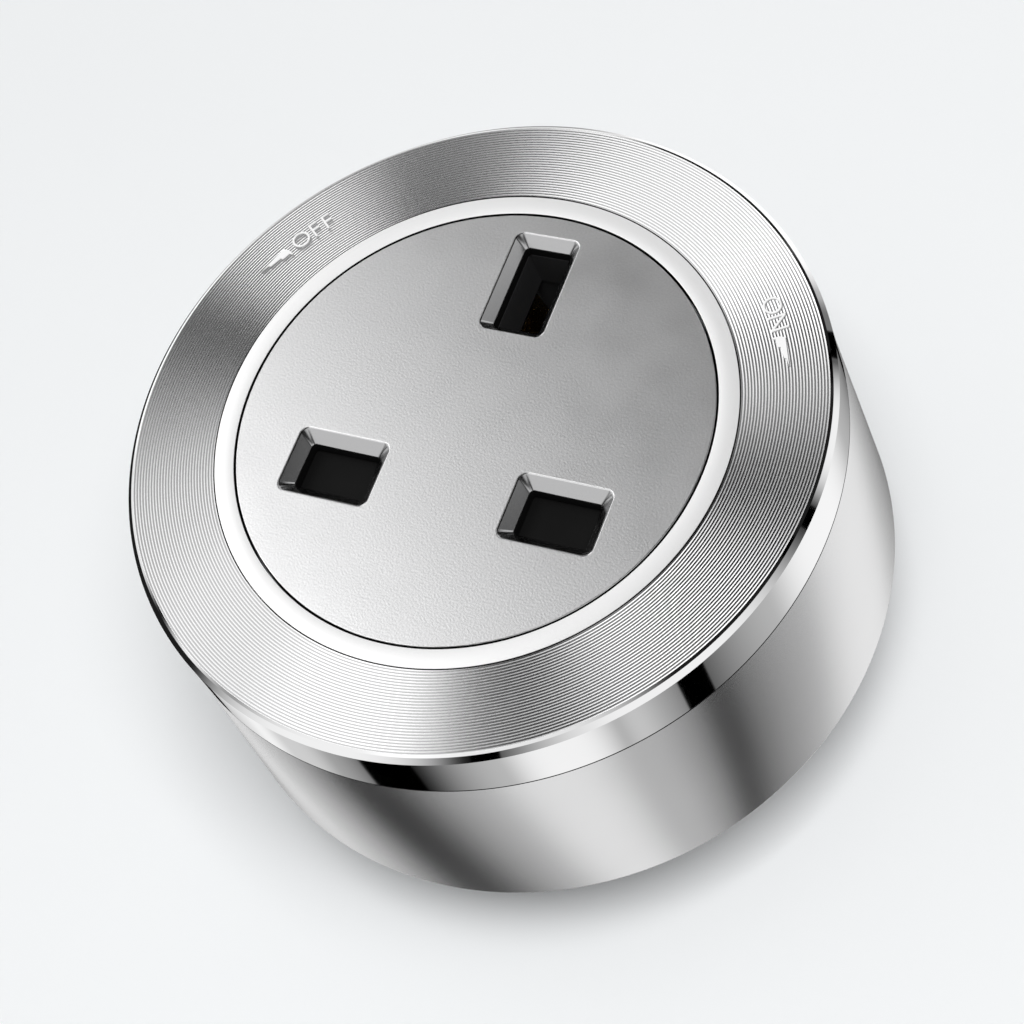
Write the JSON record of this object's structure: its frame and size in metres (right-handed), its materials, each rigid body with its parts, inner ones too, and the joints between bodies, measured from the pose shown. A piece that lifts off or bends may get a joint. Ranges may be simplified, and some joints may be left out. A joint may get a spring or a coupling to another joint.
{
  "type": "power track socket adapter",
  "caption": "Round twist-in power track adapter: British socket slots in a satin plate, grooved metal bezel, flared shell, and a keyed guide with swing-out contact blades behind.",
  "frame": {"origin": "centre of the rear seat, on the axis of the twist, in the plane where the pad meets the track", "axes": "+Z out of the socket face, +Y towards the earth slot, +X towards the live slot"},
  "size_m": [0.0684, 0.0684, 0.043],
  "materials": {
    "bezel": "turned concentric grooves on the face, polished edge",
    "accent": "smooth, pale",
    "plate": "fine satin",
    "shell": "satin",
    "rear": "moulded, fine texture",
    "pad": "matt",
    "core": "moulded",
    "shutter": "moulded",
    "guide": "moulded, fine texture",
    "contact": "stamped",
    "spring": "drawn",
    "hardware": "plated"
  },
  "bodies": {
    "guide": {"guide_block": "guide", "guide_cap": "guide", "cap_screws": "hardware"},
    "housing": {"bezel": "bezel", "accent_ring": "accent", "face_plate": "plate", "body_shell": "shell", "rear_cover": "rear", "track_pad": "pad", "socket_core": "core", "shutter_spring": "spring", "line_clip": "contact", "neutral_clip": "contact", "earth_clip": "contact", "line_strap": "contact", "neutral_strap": "contact", "earth_strap": "contact", "clip_rivets": "contact", "rotor_stem": "guide", "line_blade": "contact", "neutral_blade": "contact", "earth_blade": "contact", "spindle_washer": "hardware", "retaining_clip": "spring", "click_spring": "spring", "stop_pin": "hardware", "core_screws": "hardware", "stem_screws": "hardware", "cover_screws": "hardware"},
    "shutter": {"shutter": "shutter"}
  },
  "joints": [
    {"name": "twist_lock", "type": "hinge", "parent": "guide", "child": "housing", "pos_m": [0, 0, 0], "axis": [0, 0, -1], "range_deg": [0, 90]},
    {"name": "shutter_slide", "type": "slide", "parent": "housing", "child": "shutter", "axis": [0, -1, 0], "range_m": [0, 0.005], "stiffness_N_per_m": 150, "springref_m": -0.002, "deforming": ["shutter_spring"]}
  ]
}
